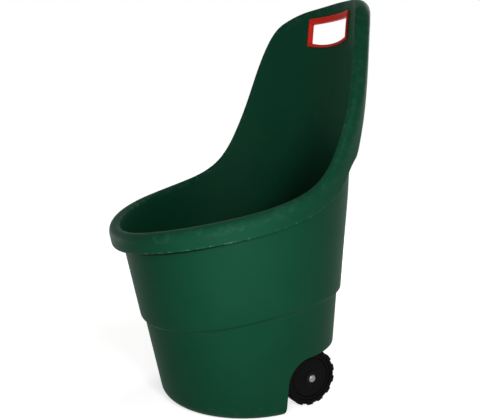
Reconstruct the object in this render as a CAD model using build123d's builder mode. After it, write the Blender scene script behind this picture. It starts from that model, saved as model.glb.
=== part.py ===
from build123d import *
from math import cos, hypot, pi, radians, sin, sqrt
import numpy as np
import os

# Garden cart: a moulded scoop-shaped tub with a tall back panel, a hand grip and two wheels.
# Millimetres. +Z is up, the low lip faces -Y, the axle runs along X, and the origin is on the
# ground under the middle of the whole cart. Left is +X.

# Tub wall: every plan section is an ellipse that widens upwards
wall = 3.0
floor_thickness = 4.0
base_half_width = 172.6
base_half_length = 182.6
base_middle = 21.77
side_draft = 0.119
front_draft = 0.22
back_draft = 0.045
base_round = 23.0
floor_lap = 17.0

# Wings and back panel: they spread, then narrow, flatten, and lean back near the top
panel_start = 430.0
panel_spread = 0.000188
panel_flatten = 0.000904
panel_taper_depth = 275.0
panel_taper = 0.0013
panel_flare_depth = 239.0
panel_flare = 0.000001

# Step in the wall: the upper wall stands out over the lower one, along a rising line
step_out = 7.3
step_half_height = 4.5
step_front_height = 178.0
step_back_height = 232.0
step_climb = [(-90, 0.0), (-60, 0.12), (-30, 0.43), (0, 0.82), (30, 0.985), (90, 1.0)]

# Rolled rim: heights of its crest, how the crest climbs around the plan, and the roll's section
rim_front_height = 369.8
rim_side_height = 439.4
rim_top_height = 836.5
rim_front_climb = [(-90, 0.0), (-60, 0.171), (-30, 0.530)]
rim_wing_climb = [(0, 0.0), (14, 0.069), (24, 0.174), (32, 0.331), (39, 0.5414), (46, 0.824), (53, 0.928)]
rim_top_climb = [(62, 0.970), (75, 0.991), (90, 1.0)]
rim_front_overhang = 22.0
rim_wing_overhang = 17.3
rim_corner_overhang = 29.5
rim_top_overhang = 26.0
rim_skirt = 38.0
rim_top_hem = 3.0
rim_skirt_fade = (52, 66)
rim_outer_round = 22.0
rim_inner_round = 6.0
rim_flat = 2.0

# Wheel recess under the rear of the tub
arch_front = 18.0
arch_height = 117.0
arch_round = 47.0
arch_foot_round = 9.0
recess_height = 124.0

# Axle and its brackets
axle_radius = 5.0
axle_chamfer = 0.8
axle_back = 92.8
bracket_inboard = 84.0
bracket_thickness = 8.0
bracket_top_length = 90.0
bracket_boss_radius = 16.0
bush_wall = 2.0
bush_flange = 3.5
bush_flange_thickness = 2.0
fit_clearance = 0.05

# Wheels
wheel_radius = 58.4
wheel_face = 146.0
tyre_width = 38.0
tyre_depth = 10.9
tyre_shoulder = 4.0
lug_height = 2.6
lug_count = 14
lug_share = 0.56
hub_radius = 12.0
hub_bush_wall = 2.0
face_inset = 2.0
web_thickness = 4.0
rim_band_thickness = 4.0
rib_count = 6
rib_thickness = 3.0
rib_inset = 8.0
axial_play = 0.3

# Washers, retainers and caps on the axle ends
washer_radius = 11.0
washer_thickness = 1.6
star_thickness = 1.2
cap_radius = 7.8
cap_wall = 0.7
cap_height = 7.6
cap_round = 3.0
cap_headroom = 1.0

# Hand grip in the back panel
grip_half_width = 72.0
grip_drop = 26.0
grip_depth = 60.5
grip_sag = 8.0
grip_side_flange = 5.4
grip_bottom_flange = 5.8
grip_bar = 13.5
grip_corner_round = 4.0
grip_proud = 4.0
grip_rear_thickness = 2.0
grip_liner = 2.5
grip_clearance = 0.5
grip_screw_spacing = 50.0
grip_screw_radius = 1.5
grip_screw_head_radius = 3.0
grip_screw_head_height = 2.0
grip_screw_seat_depth = 0.8
grip_screw_bite = 2.8

# Places that follow from the sizes above
panel_taper_from = rim_top_height - panel_taper_depth
panel_flare_from = rim_top_height - panel_flare_depth
grip_top = rim_top_height - grip_drop
grip_corner = grip_top - grip_depth
rim_top_skirt = rim_outer_round + rim_top_hem
axle_height = wheel_radius
axle_line = Axis((0, axle_back, axle_height), (1, 0, 0))
bracket_outboard = bracket_inboard + bracket_thickness
bush_end = bracket_outboard + bush_flange_thickness
bush_bore = axle_radius + fit_clearance
bush_radius = bush_bore + bush_wall
bracket_bore = bush_radius + fit_clearance
hub_start = bush_end + washer_thickness + axial_play
hub_end = wheel_face - face_inset
outer_washer_start = hub_end + axial_play
cap_start = outer_washer_start + washer_thickness
cap_end = cap_start + cap_height
cap_hollow = cap_radius - cap_wall
cap_socket_end = cap_end - cap_wall - cap_round
star_radius = cap_hollow - fit_clearance
axle_end = cap_end - cap_wall - cap_headroom
tyre_start = wheel_face - tyre_width
tyre_bore = wheel_radius - tyre_depth
tread_radius = wheel_radius - lug_height
lug_width = lug_share * 2 * pi * tread_radius / lug_count
core_radius = tyre_bore - fit_clearance
hub_bore = bush_bore + hub_bush_wall + fit_clearance
hole_half_width = grip_half_width - grip_side_flange
hole_top = grip_top - grip_bar
hole_corner = grip_corner + grip_bottom_flange
panel_hole_growth = grip_liner + grip_clearance
grip_screw_height = (grip_top + hole_top + panel_hole_growth) / 2
rear_out = step_out + grip_clearance
far_back = base_middle + 2 * base_half_length
far_side = 2 * base_half_width

# A quarter-round's pull towards its corner, curves up each wall, and plan angles of the sections
CIRCLE = 0.5523
WALL_PIECES = 4
PANEL_SECTIONS = 6
STATIONS = [-90, -86, *range(-80, 1, 10), 7, 14, 20, 26, *range(31, 56, 4), 60, 64, 70, 76, 81, 86, 90]


def smooth_curve(points, at):
    """Value at one place on the smoothest curve through (place, value) points, level at both ends."""
    places = np.array([place for place, _ in points], float)
    values = np.array([value for _, value in points], float)
    spans = np.diff(places)
    rises = np.diff(values) / spans**2
    ties = np.eye(len(points))
    pulls = np.zeros(len(points))
    for i in range(1, len(points) - 1):
        ties[i, i - 1 : i + 2] = 1 / spans[i - 1], 2 / spans[i - 1] + 2 / spans[i], 1 / spans[i]
        pulls[i] = 3 * (rises[i - 1] + rises[i])
    slopes = np.linalg.solve(ties, pulls)
    i = int(np.clip(np.searchsorted(places, at) - 1, 0, len(spans) - 1))
    t = (at - places[i]) / spans[i]
    bend_in = slopes[i] * spans[i] - values[i + 1] + values[i]
    bend_out = values[i + 1] - values[i] - slopes[i + 1] * spans[i]
    return (1 - t) * values[i] + t * values[i + 1] + t * (1 - t) * ((1 - t) * bend_in + t * bend_out)


def crest_height(angle):
    """Height of the rim's crest at one plan angle, from the front lip to the top of the back."""
    rise = rim_side_height - rim_front_height
    climb = rim_top_height - rim_side_height
    points = [(place, rim_front_height + share * rise) for place, share in rim_front_climb]
    points += [(place, rim_side_height + share * climb) for place, share in rim_wing_climb + rim_top_climb]
    return smooth_curve(points, angle)


def rim_overhang(angle):
    """Distance that the rim's skirt stands out from the upper wall at one plan angle."""
    points = [(-90, rim_front_overhang), (0, rim_front_overhang), (30, rim_wing_overhang)]
    points += [(60, rim_corner_overhang), (90, rim_top_overhang)]
    return smooth_curve(points, angle)


def skirt_depth(angle):
    """Depth of the rim's skirt at one plan angle, shallower over the hand opening and its screws."""
    start, end = rim_skirt_fade
    share = min(max((angle - start) / (end - start), 0.0), 1.0)
    return rim_skirt + (rim_top_skirt - rim_skirt) * share**2 * (3 - 2 * share)


def step_height(angle):
    """Height of the step in the wall at one plan angle."""
    rise = step_back_height - step_front_height
    return step_front_height + rise * smooth_curve(step_climb, angle)


def wall_ellipse(height, out):
    """Middle, half length and half width of the lower wall's plan section, pushed out."""
    panel = max(0.0, height - panel_start)
    front = base_half_length + front_draft * height - panel_flatten * panel**2
    back = base_half_length + back_draft * min(height, panel_start)
    back += panel_flare * max(0.0, height - panel_flare_from) ** 3
    half_width = base_half_width + side_draft * height + panel_spread * panel**2
    half_width -= panel_taper * max(0.0, height - panel_taper_from) ** 2
    return base_middle + (back - front) / 2, (front + back) / 2 + out, half_width + out


def panel_back(across, height, out):
    """Y of the back panel at one place across and up, pushed out from the lower wall."""
    middle, half_length, half_width = wall_ellipse(height, out)
    return middle + half_length * sqrt(1 - (across / half_width) ** 2)


def screw_seat(place):
    """Y of the flat under one grip screw's head, let into the rear half."""
    return panel_back(place, grip_screw_height, rear_out + grip_rear_thickness) - grip_screw_seat_depth


def screw_tip(place):
    """Y of the blind end of one grip screw's hole in the front half."""
    return panel_back(place, grip_screw_height, step_out - wall - grip_clearance) - grip_screw_bite


class Station:
    """An upright plane square to the rim at one plan angle, with the wall's places in it."""

    def __init__(self, angle):
        turn = radians(angle)
        self.crest = crest_height(angle)
        self.step = step_height(angle)
        self.roll_out = step_out + rim_overhang(angle)
        self.skirt = skirt_depth(angle)
        middle, half_length, half_width = wall_ellipse(self.crest, step_out)
        self.foot = (half_width * cos(turn), middle + half_length * sin(turn))
        lean = hypot(cos(turn) / half_width, sin(turn) / half_length)
        self.normal = (cos(turn) / half_width / lean, sin(turn) / half_length / lean)
        nx, ny = self.normal
        self.plane = Plane(origin=(*self.foot, 0), x_dir=(nx, ny, 0), z_dir=(ny, -nx, 0))
        around = hypot(half_width * sin(turn), half_length * cos(turn)) * radians(2)
        climb = crest_height(min(angle + 1, 90)) - crest_height(max(angle - 1, -90))
        self.stretch = hypot(1, climb / around)

    def reach(self, height, out):
        """Distance out from the foot to the wall at one height."""
        middle, half_length, half_width = wall_ellipse(height, out)
        (fx, fy), (nx, ny) = self.foot, self.normal
        square = (nx / half_width) ** 2 + (ny / half_length) ** 2
        slope = fx * nx / half_width**2 + (fy - middle) * ny / half_length**2
        rest = (fx / half_width) ** 2 + ((fy - middle) / half_length) ** 2 - 1
        return (sqrt(slope**2 - square * rest) - slope) / square

    def at(self, height, out, inward=0.0):
        """Point in the plane on the wall at one height, moved inward."""
        return Vector(self.reach(height, out) - inward, height)

    def wall_line(self, low, high, out, pieces=1):
        """Curves along the wall, each through four of its points."""
        rise = (high - low) / pieces
        curves = []
        for start in (low + rise * i for i in range(pieces)):
            a, b, c, d = (self.at(start + rise * i / 3, out) for i in range(4))
            pull_low = (a * -5 + b * 18 - c * 9 + d * 2) / 6
            pull_high = (a * 2 - b * 9 + c * 18 - d * 5) / 6
            curves.append(Bezier(a, pull_low, pull_high, d))
        return curves

    def corner(self, start, point, end):
        """Quarter-round from start to end, inside the corner point."""
        return Bezier(start, start + (point - start) * CIRCLE, end + (point - end) * CIRCLE, end)

    def step_curve(self, out_below, out_above):
        """Rounded step from the lower wall to the upper one."""
        below = self.at(self.step - step_half_height, out_below)
        above = self.at(self.step + step_half_height, out_above)
        return Bezier(below, Vector(below.X, self.step), Vector(above.X, self.step), above)


def tub_section(station):
    """Outline of the tub's wall and rolled rim in one station's plane, up the outside and down inside."""
    stretch = station.stretch
    step_low = station.step - step_half_height
    step_high = station.step + step_half_height
    skirt_end = station.crest - station.skirt * stretch
    roll_out = station.roll_out
    roll_low = station.crest - rim_outer_round * stretch
    lip_low = station.crest - rim_inner_round * stretch
    lip_out = step_out - wall
    crest_in = lip_out + rim_inner_round
    crest_out = crest_in + rim_flat
    pocket_top = station.crest - wall * stretch
    pocket_low = pocket_top - (crest_out - step_out) * stretch
    inner_round = base_round - wall
    floor_end = base_round + floor_lap

    pocket_middle = station.at(pocket_top, crest_out)
    pocket_inner = station.at(pocket_top, step_out)
    pocket_outer = station.at(pocket_top, roll_out - wall)
    crest_outer = station.at(station.crest, crest_out)
    crest_inner = station.at(station.crest, crest_in)
    floor_corner = station.at(floor_thickness, -wall)
    floor_edge = floor_corner - Vector(inner_round, 0)
    floor_inner = Vector(station.reach(0, 0) - floor_end, floor_thickness)
    edges = [
        Line(station.at(0, 0, floor_end), station.at(0, 0, base_round)),
        station.corner(station.at(0, 0, base_round), station.at(0, 0), station.at(base_round, 0)),
        *station.wall_line(base_round, step_low, 0),
        station.step_curve(0, step_out),
        *station.wall_line(step_high, pocket_low, step_out, WALL_PIECES),
        station.corner(station.at(pocket_low, step_out), pocket_inner, pocket_middle),
        station.corner(pocket_middle, pocket_outer, station.at(roll_low, roll_out - wall)),
        *station.wall_line(roll_low, skirt_end, roll_out - wall),
        Line(station.at(skirt_end, roll_out - wall), station.at(skirt_end, roll_out)),
        *station.wall_line(skirt_end, roll_low, roll_out),
        station.corner(station.at(roll_low, roll_out), station.at(station.crest, roll_out), crest_outer),
        Line(crest_outer, crest_inner),
        station.corner(crest_inner, station.at(station.crest, lip_out), station.at(lip_low, lip_out)),
        *station.wall_line(lip_low, step_high, lip_out, WALL_PIECES),
        station.step_curve(-wall, lip_out),
        *station.wall_line(step_low, floor_thickness + inner_round, -wall),
        station.corner(station.at(floor_thickness + inner_round, -wall), floor_corner, floor_edge),
        Line(floor_edge, floor_inner),
        Line(floor_inner, station.at(0, 0, floor_end)),
    ]
    return Wire(edges).moved(station.plane.location)


def recess_outline(front, top, corner_radius):
    """Side view of the wheel recess, open below and behind, with a rounded foot at its front."""
    foot = front - arch_foot_round
    below = -base_round
    with BuildLine() as outline:
        Line((foot, below), (foot, 0))
        TangentArc((foot, 0), (front, arch_foot_round), tangent=(1, 0))
        Line((front, arch_foot_round), (front, top - corner_radius))
        TangentArc((front, top - corner_radius), (front + corner_radius, top), tangent=(0, 1))
        Polyline((front + corner_radius, top), (far_back, top), (far_back, below), (foot, below))
    return outline.edges()


def grip_prism(half_width, top, low, growth):
    """Bar along Y in the grip's front view: straight top and sides, sagging bottom, round corners."""
    side = half_width + growth
    high = top + growth
    corner = low - growth
    with BuildPart() as prism:
        with BuildSketch(Plane.XZ) as face:
            with BuildLine():
                Polyline((-side, corner), (-side, high), (side, high), (side, corner))
                ThreePointArc((side, corner), (0, corner - grip_sag), (-side, corner))
            make_face()
            fillet(face.vertices(), radius=grip_corner_round + growth)
        extrude(amount=-far_back)
    return prism.part


def grip_frame():
    """Bar along Y in the front view of the grip's whole frame."""
    return grip_prism(grip_half_width, grip_top, grip_corner, 0)


def grip_hole(growth):
    """Bar along Y in the front view of the clear hand opening."""
    return grip_prism(hole_half_width, hole_top, hole_corner, growth)


def wall_plug(heights, out):
    """Solid inside the wall between the lowest and highest of some heights, pushed out."""
    with BuildPart() as plug:
        for height in heights:
            middle, half_length, half_width = wall_ellipse(height, out)
            with BuildSketch(Plane.XY.offset(height)):
                with Locations((0, middle)):
                    Ellipse(half_width, half_length)
        loft()
    return plug.part


def axle_plane(side):
    """Plane through the axle: its X runs outboard along the axle, its Y is the radius."""
    return Plane(origin=(0, axle_back, axle_height), x_dir=(side, 0, 0), z_dir=(0, -side, 0))


def wheel_plane(side, place):
    """Plane across the axle at one place along it, facing outboard."""
    return Plane(origin=(side * place, axle_back, axle_height), x_dir=(0, 1, 0), z_dir=(side, 0, 0))


def ring(side, start, end, inner, outer):
    """Ring about the axle between two places along it and two radii."""
    with BuildPart() as turned:
        with BuildSketch(axle_plane(side)):
            with Locations((start, inner)):
                Rectangle(end - start, outer - inner, align=(Align.MIN, Align.MIN))
        revolve(axis=axle_line)
    return turned.part


def save(part, name):
    """Name one finished piece and write its file."""
    part.label = name
    export_step(part, f"parts/{name}.step")


os.makedirs("parts", exist_ok=True)
panel_heights = np.linspace(grip_corner - 2 * grip_sag, grip_top + grip_bar, PANEL_SECTIONS).tolist()
screw_places = [-grip_screw_spacing, 0.0, grip_screw_spacing]

# Tub: wall and rim around one half, mirrored, then the floor, recess, brackets and openings
with BuildPart() as recess_lining:
    add(wall_plug([0, recess_height + 2 * base_round], -wall / 2))
    fillet(recess_lining.edges().group_by(Axis.Z)[0], radius=base_round - wall / 2)
    with BuildSketch(Plane.YZ):
        make_face(recess_outline(arch_front - wall, recess_height + wall, arch_round + wall))
    extrude(amount=far_side, both=True, mode=Mode.INTERSECT)
    with BuildSketch(Plane.YZ):
        make_face(recess_outline(arch_front, recess_height, arch_round))
    extrude(amount=far_side, both=True, mode=Mode.SUBTRACT)

with BuildPart() as tub:
    add(Solid.make_loft([tub_section(Station(angle)) for angle in STATIONS]))
    mirror(about=Plane.YZ)
    with BuildSketch():
        with Locations((0, base_middle)):
            Ellipse(
                base_half_width - base_round - floor_lap / 2,
                base_half_length - base_round - floor_lap / 2,
            )
    extrude(amount=floor_thickness)
    with BuildSketch(Plane.YZ):
        make_face(recess_outline(arch_front, arch_height, arch_round))
    extrude(amount=far_side, both=True, mode=Mode.SUBTRACT)
    add(recess_lining.part)
    for side in (1, -1):
        with BuildSketch(Plane.YZ.offset(side * (bracket_inboard + bracket_thickness / 2))):
            with Locations((axle_back, axle_height)):
                Circle(bracket_boss_radius)
            with Locations((axle_back, recess_height)):
                Rectangle(bracket_top_length, wall, align=(Align.CENTER, Align.MIN))
            make_hull()
        extrude(amount=bracket_thickness / 2, both=True)
        add(ring(side, bracket_inboard, bracket_outboard, 0, bracket_bore), mode=Mode.SUBTRACT)
    add(grip_hole(panel_hole_growth), mode=Mode.SUBTRACT)
    with BuildSketch(Plane.XZ):
        with Locations(*[(place, grip_screw_height) for place in screw_places]):
            Circle(grip_screw_radius + grip_clearance)
    extrude(amount=-far_back, mode=Mode.SUBTRACT)
save(tub.part, "tub")

# Hand grip: the front half carries the liner through the panel, the rear half clamps it
with BuildPart() as grip_front:
    add(grip_frame())
    add(wall_plug(panel_heights, step_out - wall - grip_clearance), mode=Mode.INTERSECT)
    add(grip_hole(grip_liner))
    add(wall_plug(panel_heights, rear_out + grip_rear_thickness), mode=Mode.INTERSECT)
    add(wall_plug(panel_heights, step_out - wall - grip_clearance - grip_proud), mode=Mode.SUBTRACT)
    add(grip_hole(0), mode=Mode.SUBTRACT)
    for place in screw_places:
        with BuildSketch(Plane.XZ.offset(-screw_tip(place))):
            with Locations((place, grip_screw_height)):
                Circle(grip_screw_radius + fit_clearance)
        extrude(amount=-far_back, mode=Mode.SUBTRACT)
save(grip_front.part, "grip_front")

with BuildPart() as grip_rear:
    add(grip_frame())
    add(wall_plug(panel_heights, rear_out + grip_rear_thickness), mode=Mode.INTERSECT)
    add(wall_plug(panel_heights, rear_out), mode=Mode.SUBTRACT)
    add(grip_hole(panel_hole_growth), mode=Mode.SUBTRACT)
    for place in screw_places:
        with BuildSketch(Plane.XZ):
            with Locations((place, grip_screw_height)):
                Circle(grip_screw_radius + fit_clearance)
        extrude(amount=-far_back, mode=Mode.SUBTRACT)
        with BuildSketch(Plane.XZ.offset(-screw_seat(place))):
            with Locations((place, grip_screw_height)):
                Circle(grip_screw_head_radius + grip_clearance)
        extrude(amount=-far_back, mode=Mode.SUBTRACT)
save(grip_rear.part, "grip_rear")

with BuildPart() as grip_screws:
    for place in screw_places:
        with BuildSketch(Plane.XZ.offset(-screw_seat(place))):
            with Locations((place, grip_screw_height)):
                Circle(grip_screw_head_radius)
        extrude(amount=-grip_screw_head_height)
        with BuildSketch(Plane.XZ.offset(-screw_seat(place))):
            with Locations((place, grip_screw_height)):
                Circle(grip_screw_radius)
        extrude(amount=screw_seat(place) - screw_tip(place) - grip_clearance)
save(grip_screws.part, "grip_screws")

# Axle: a plain rod whose ends sit inside the caps
with BuildPart() as axle:
    add(ring(1, -axle_end, axle_end, 0, axle_radius))
    chamfer(axle.edges().filter_by(GeomType.CIRCLE), length=axle_chamfer)
save(axle.part, "axle")

# Wheels, bushes, washers and retainers on each side
for side, hand in ((1, "left"), (-1, "right")):
    with BuildPart() as axle_bush:
        add(ring(side, bracket_inboard, bush_end, bush_bore, bush_radius))
        add(ring(side, bracket_outboard, bush_end, bush_bore, bush_radius + bush_flange))
    save(axle_bush.part, f"{hand}_axle_bush")

    with BuildPart() as wheel_core:
        add(ring(side, hub_start, hub_end, hub_bore, hub_radius))
        add(ring(side, hub_end - web_thickness, hub_end, hub_bore, core_radius))
        add(ring(side, tyre_start + face_inset, hub_end, core_radius - rim_band_thickness, core_radius))
        with BuildSketch(wheel_plane(side, tyre_start + rib_inset)):
            with PolarLocations((hub_bore + core_radius) / 2, rib_count):
                Rectangle(core_radius - hub_radius, rib_thickness)
        extrude(amount=hub_end - tyre_start - rib_inset)
    save(wheel_core.part, f"{hand}_wheel_core")

    with BuildPart() as tyre:
        with BuildSketch(wheel_plane(side, tyre_start)):
            Circle(tread_radius)
            with PolarLocations(0, lug_count, start_angle=90):
                Rectangle(wheel_radius, lug_width, align=(Align.MIN, Align.CENTER))
        extrude(amount=tyre_width)
        with BuildSketch(axle_plane(side)) as profile:
            with Locations((tyre_start, tyre_bore)):
                Rectangle(tyre_width, wheel_radius - tyre_bore, align=(Align.MIN, Align.MIN))
            fillet(profile.vertices().group_by(Axis.Z)[-1], radius=tyre_shoulder)
        revolve(axis=axle_line, mode=Mode.INTERSECT)
    save(tyre.part, f"{hand}_tyre")

    with BuildPart() as hub_bush:
        add(ring(side, hub_start, hub_end, bush_bore, hub_bore - fit_clearance))
    save(hub_bush.part, f"{hand}_hub_bush")

    with BuildPart() as inner_washer:
        add(ring(side, bush_end, bush_end + washer_thickness, bush_bore, washer_radius))
    save(inner_washer.part, f"{hand}_inner_washer")

    with BuildPart() as outer_washer:
        add(ring(side, outer_washer_start, cap_start, bush_bore, washer_radius))
    save(outer_washer.part, f"{hand}_outer_washer")

    with BuildPart() as star_washer:
        add(ring(side, cap_start, cap_start + star_thickness, bush_bore, star_radius))
    save(star_washer.part, f"{hand}_star_washer")

    with BuildPart() as axle_cap:
        add(ring(side, cap_start, cap_end, 0, cap_radius))
        fillet(axle_cap.faces().sort_by(Axis.X)[-1 if side > 0 else 0].edges(), radius=cap_round)
        add(ring(side, cap_start, cap_socket_end, 0, cap_hollow), mode=Mode.SUBTRACT)
        add(ring(side, cap_start, cap_end - cap_wall, 0, bush_bore), mode=Mode.SUBTRACT)
    save(axle_cap.part, f"{hand}_axle_cap")
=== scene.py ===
# %% [markdown]
# # A moulded garden cart
# The cart is a scoop-shaped tub with a rolled rim, a tall back panel with a lined hand opening, and two
# lugged wheels on a steel axle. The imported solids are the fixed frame: every piece made here stays where
# its solid is, and only gets the rounder edges, the finer curves and the finishes of the real thing.

# %% Load the frame
import bmesh
import bpy
import numpy as np
from math import cos, pi, radians, sin
from mathutils import Matrix, Vector


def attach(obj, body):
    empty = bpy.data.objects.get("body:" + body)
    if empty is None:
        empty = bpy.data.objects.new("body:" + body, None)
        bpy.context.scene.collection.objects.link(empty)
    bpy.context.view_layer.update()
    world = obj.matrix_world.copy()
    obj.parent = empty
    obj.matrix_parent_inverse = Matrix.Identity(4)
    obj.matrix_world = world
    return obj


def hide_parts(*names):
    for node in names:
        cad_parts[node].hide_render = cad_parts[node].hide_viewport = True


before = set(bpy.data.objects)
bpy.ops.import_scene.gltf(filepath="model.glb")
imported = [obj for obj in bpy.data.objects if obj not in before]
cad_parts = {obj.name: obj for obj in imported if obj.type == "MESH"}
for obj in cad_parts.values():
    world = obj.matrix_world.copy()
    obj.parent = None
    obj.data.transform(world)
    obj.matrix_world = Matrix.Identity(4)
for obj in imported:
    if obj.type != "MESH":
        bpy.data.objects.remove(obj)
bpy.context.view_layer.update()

# %% [markdown]
# Colours are read off as sRGB hex values, but shaders work in linear light, so one function converts them.
# A second small function adds a node with its settings and links. Node trees for shapes and for finishes
# are then written as short lists of nodes, each fed by the ones before it. A node that feeds another one
# gives it its first output, unless a socket is named.

# %% Colour and node helpers
mm = 0.001
scene = bpy.context.scene


def linear(code):
    """Linear RGBA of an sRGB hex colour."""
    parts = [int(code[i : i + 2], 16) / 255 for i in (1, 3, 5)]
    return [v / 12.92 if v <= 0.04045 else ((v + 0.055) / 1.055) ** 2.4 for v in parts] + [1.0]


def node(tree, kind, feeds=None, **settings):
    """Add a node, apply its settings, then set each of its inputs or link it to a socket or a node."""
    made = tree.nodes.new(kind)
    for name, value in settings.items():
        setattr(made, name, value)
    for name, value in (feeds or {}).items():
        if isinstance(value, bpy.types.Node):
            value = value.outputs[0]
        if isinstance(value, bpy.types.NodeSocket):
            tree.links.new(value, made.inputs[name])
        else:
            made.inputs[name].default_value = value
    return made


def empty_tree(owner):
    """Node tree of a material or a world, with nothing in it yet."""
    owner.use_nodes = True
    owner.node_tree.nodes.clear()
    return owner.node_tree


print("linear light of a middle grey", [round(v, 3) for v in linear("#808080")])

# %% [markdown]
# The camera stands a little above the rim, off the cart's left front corner, about 1.3 m away. Its place
# and lens were worked out from the outlines in the picture, so the cart fills the frame in the same way.

# %% Camera
camera_place = (1.18375, -0.61694, 0.57474)
back = Vector((0.87714, -0.46103, 0.13443)).normalized()
right = Vector((0, 0, 1)).cross(back).normalized()
facing = Matrix((right, back.cross(right), back)).transposed().to_4x4()
camera = bpy.data.objects.new("camera", bpy.data.cameras.new("camera"))
scene.collection.objects.link(camera)
camera.matrix_world = Matrix.Translation(camera_place) @ facing
camera.data.sensor_width = 36
camera.data.lens = 47.868
scene.camera = camera
print("camera lens", camera.data.lens)

# %% [markdown]
# The studio is a pale floor in a white surround. The surround is white to the rays that show it, which come
# straight from the camera, off a glossy face or through a clear one, and it gives all other rays a low even
# light. The floor glows to the same rays, more with distance, so that it ends white without a horizon and
# still shows the cart's shadow.

# %% Surround and floor
white = (1, 1, 1, 1)
floor_reach = 9.0
floor_drop = 0.5 * mm


def shown_rays(tree):
    """Value that is 1 on camera, glossy and transmission rays, and 0 on all others."""
    ray = node(tree, "ShaderNodeLightPath").outputs
    shown = ray["Is Camera Ray"]
    for kind in ("Is Glossy Ray", "Is Transmission Ray"):
        shown = node(tree, "ShaderNodeMath", {0: shown, 1: ray[kind]}, operation="MAXIMUM")
    return shown


scene.view_settings.view_transform = "Standard"
scene.world = bpy.data.worlds.new("studio")
tree = empty_tree(scene.world)
strength = node(tree, "ShaderNodeMapRange", {"Value": shown_rays(tree), "To Min": 0.12, "To Max": 1.0})
surround = node(tree, "ShaderNodeBackground", {"Color": white, "Strength": strength})
node(tree, "ShaderNodeOutputWorld", {"Surface": surround})

floor_mesh = bpy.data.meshes.new("floor")
corners = [(x * floor_reach, y * floor_reach, 0) for x, y in ((-1, -1), (1, -1), (1, 1), (-1, 1))]
floor_mesh.from_pydata(corners, [], [(0, 1, 2, 3)])
floor = bpy.data.objects.new("floor", floor_mesh)
floor.location.z = -floor_drop
scene.collection.objects.link(floor)
paper = bpy.data.materials.new("studio_paper")
tree = empty_tree(paper)
place = node(tree, "ShaderNodeTexCoord").outputs["Object"]
away = node(tree, "ShaderNodeVectorMath", {0: place}, operation="LENGTH").outputs["Value"]
glow = node(
    tree,
    "ShaderNodeMapRange",
    {"Value": away, "From Min": 0.5, "From Max": 2.0, "To Min": 0.70, "To Max": 1.0},
)
glow = node(tree, "ShaderNodeMath", {0: shown_rays(tree), 1: glow}, operation="MULTIPLY")
glow = node(tree, "ShaderNodeEmission", {"Color": white, "Strength": glow})
matt = node(tree, "ShaderNodeBsdfDiffuse", {"Color": linear("#dededc")})
sheet = node(tree, "ShaderNodeAddShader", {0: matt, 1: glow})
node(tree, "ShaderNodeOutputMaterial", {"Surface": sheet})
floor_mesh.materials.append(paper)
print("floor", floor_reach * 2, "m wide, under", scene.world.name)

# %% [markdown]
# Four disk lamps light the cart. The first stands close to the body on the camera's side. The second is
# higher and to the right of it, for the near flank and the rim. The third is low at the front of the far
# side and keeps the lip readable. The widest stands behind the back panel, whose inside stays dim.

# %% Lamps
for name, place, aim, size, power in (
    ("body_lamp", (0.60, -0.33, 0.34), (0, 0, 0.34), 0.25, 2.1),
    ("flank_lamp", (1.42, -0.28, 0.85), (-0.1, 0, 0.5), 0.3, 8.5),
    ("side_lamp", (-1.6, -0.8, 0.15), (0, -0.1, 0.35), 0.5, 5),
    ("back_lamp", (-0.8, 1.8, 1.2), (0, 0, 0.4), 1.3, 22),
):
    lamp = bpy.data.objects.new(name, bpy.data.lights.new(name, "AREA"))
    lamp.data.shape = "DISK"
    lamp.data.size = size
    lamp.data.energy = power
    lamp.location = place
    lamp.rotation_euler = (Vector(aim) - Vector(place)).to_track_quat("-Z", "Y").to_euler()
    scene.collection.objects.link(lamp)

# %% [markdown]
# ## Finishes
# Every plastic piece is injection-moulded polypropylene or nylon. Its colour is mixed into the whole wall,
# its gloss follows the etched face of the mould, and it marks more easily at edges. One recipe serves them
# all: a slow drift between two shades, a fine grain that drives both roughness and bump, and a pale shade in
# patches where a per-point value is above 0: rubbing at the base, rubbing and a painted highlight on the
# rim's crest, and painted glints on the skirt's lower edge. Below 0 that value paints shadow, a dark line on
# the wall under the rim's skirt. The real grain is about 0.4 mm, too fine to show, so it is drawn at the
# coarser size that each call gives.

# %% Moulded plastics
# Dark of the painted shadow on the wall under the rim's skirt.
painted_shadow_dark = "#04140c"
shade_drift = 90 * mm
scuff_and_glint_size = 14 * mm


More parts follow.
